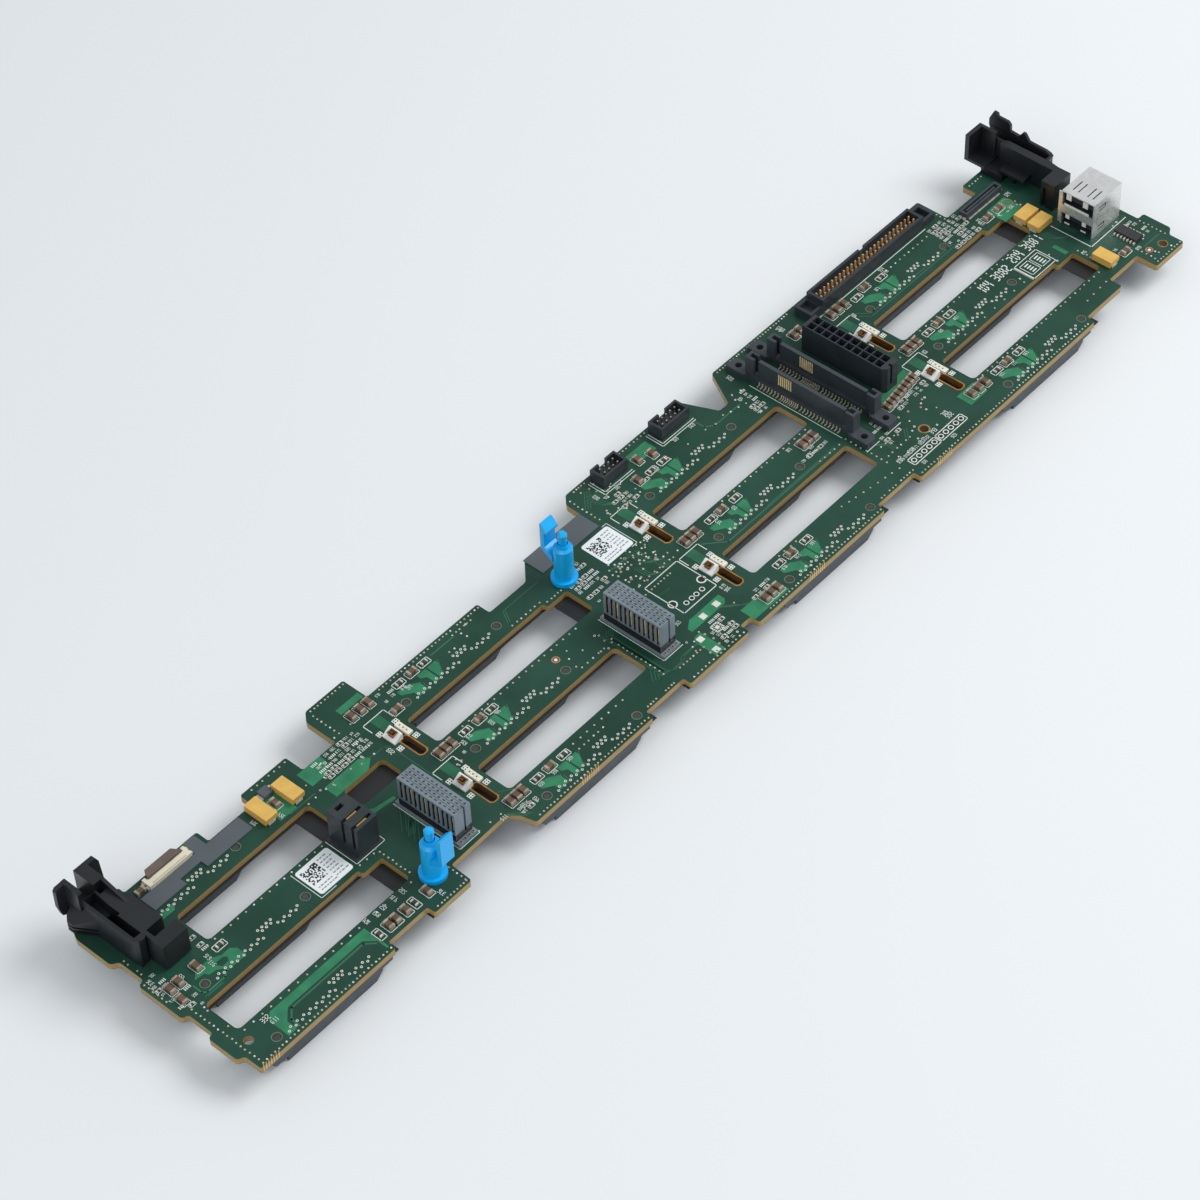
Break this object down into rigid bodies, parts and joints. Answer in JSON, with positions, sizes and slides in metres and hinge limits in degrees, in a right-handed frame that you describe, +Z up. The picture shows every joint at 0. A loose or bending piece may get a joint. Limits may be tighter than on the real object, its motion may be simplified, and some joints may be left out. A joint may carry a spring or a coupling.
{
  "type": "drive backplane board",
  "caption": "Long green backplane board with ventilation windows, drive receptacles beneath, and cable connectors, guide brackets and blue retention pins on top.",
  "frame": {"origin": "under the middle of the board, on the plane that its drive receptacles rest on", "axes": "+X along the board, +Y towards the edge with the ribbon header, +Z up through the connectors"},
  "size_m": [0.4296, 0.079, 0.0322],
  "materials": {
    "board_green": "satin",
    "film_black": "matte",
    "moulding_black": "satin",
    "contact_tin": "satin",
    "moulding_slate": "satin",
    "contact_gold": "polished",
    "shell_steel": "polished",
    "moulding_white": "satin",
    "moulding_brown": "satin",
    "latch_blue": "glossy",
    "capacitor_yellow": "satin",
    "chip_black": "matte",
    "light_white": "glossy",
    "bracket_black": "satin",
    "film_grey": "satin",
    "ceramic_brown": "satin"
  },
  "bodies": {
    "board": {"bay_connector_c1_r1": "moulding_black", "bay_connector_c1_r2": "moulding_black", "bay_connector_c1_r3": "moulding_black", "bay_connector_c2_r1": "moulding_black", "bay_connector_c2_r2": "moulding_black", "bay_connector_c2_r3": "moulding_black", "bay_connector_c3_r1": "moulding_black", "bay_connector_c3_r2": "moulding_black", "bay_connector_c3_r3": "moulding_black", "bay_connector_c4_r1": "moulding_black", "bay_connector_c4_r2": "moulding_black", "bay_connector_c4_r3": "moulding_black", "blade_contacts": "contact_gold", "blade_socket": "moulding_black", "block_capacitor_1": "capacitor_yellow", "block_capacitor_2": "capacitor_yellow", "block_capacitor_3": "capacitor_yellow", "block_capacitor_4": "capacitor_yellow", "block_capacitor_5": "capacitor_yellow", "capacitor_shoes": "contact_tin", "ceramic_capacitors": "ceramic_brown", "circuit_board": "board_green", "control_chip": "chip_black", "cover_film_1": "film_grey", "cover_film_2": "film_grey", "drive_plug_1": "moulding_black", "drive_plug_2": "moulding_black", "drive_plug_contacts_1": "contact_gold", "drive_plug_contacts_2": "contact_gold", "flat_connector": "moulding_white", "flat_latch_bar": "moulding_brown", "guide_bracket_left": "bracket_black", "guide_bracket_right": "bracket_black", "insulating_film": "film_black", "latch_stud_1": "latch_blue", "latch_stud_2": "latch_blue", "light_chips": "light_white", "light_holder_c2_r1": "moulding_white", "light_holder_c2_r2": "moulding_white", "light_holder_c3_r1": "moulding_white", "light_holder_c3_r2": "moulding_white", "light_holder_c4_r1": "moulding_white", "light_holder_c4_r2": "moulding_white", "link_contacts_1": "contact_gold", "link_contacts_2": "contact_gold", "link_socket_1": "moulding_slate", "link_socket_2": "moulding_slate", "port_insert": "moulding_black", "port_shell": "shell_steel", "power_header": "moulding_black", "ribbon_header": "moulding_black", "ribbon_header_pins": "contact_tin", "slim_connector": "moulding_black", "small_header_1": "moulding_black", "small_header_2": "moulding_black", "small_header_pins_1": "contact_tin", "small_header_pins_2": "contact_tin"},
    "latch_1": {"latch_sleeve_1": "latch_blue"},
    "latch_2": {"latch_sleeve_2": "latch_blue"}
  },
  "joints": [
    {"name": "latch_slide_1", "type": "slide", "parent": "board", "child": "latch_1", "axis": [0, 0, 1], "range_m": [0, 0.004]},
    {"name": "latch_slide_2", "type": "slide", "parent": "board", "child": "latch_2", "axis": [0, 0, 1], "range_m": [0, 0.004]}
  ]
}
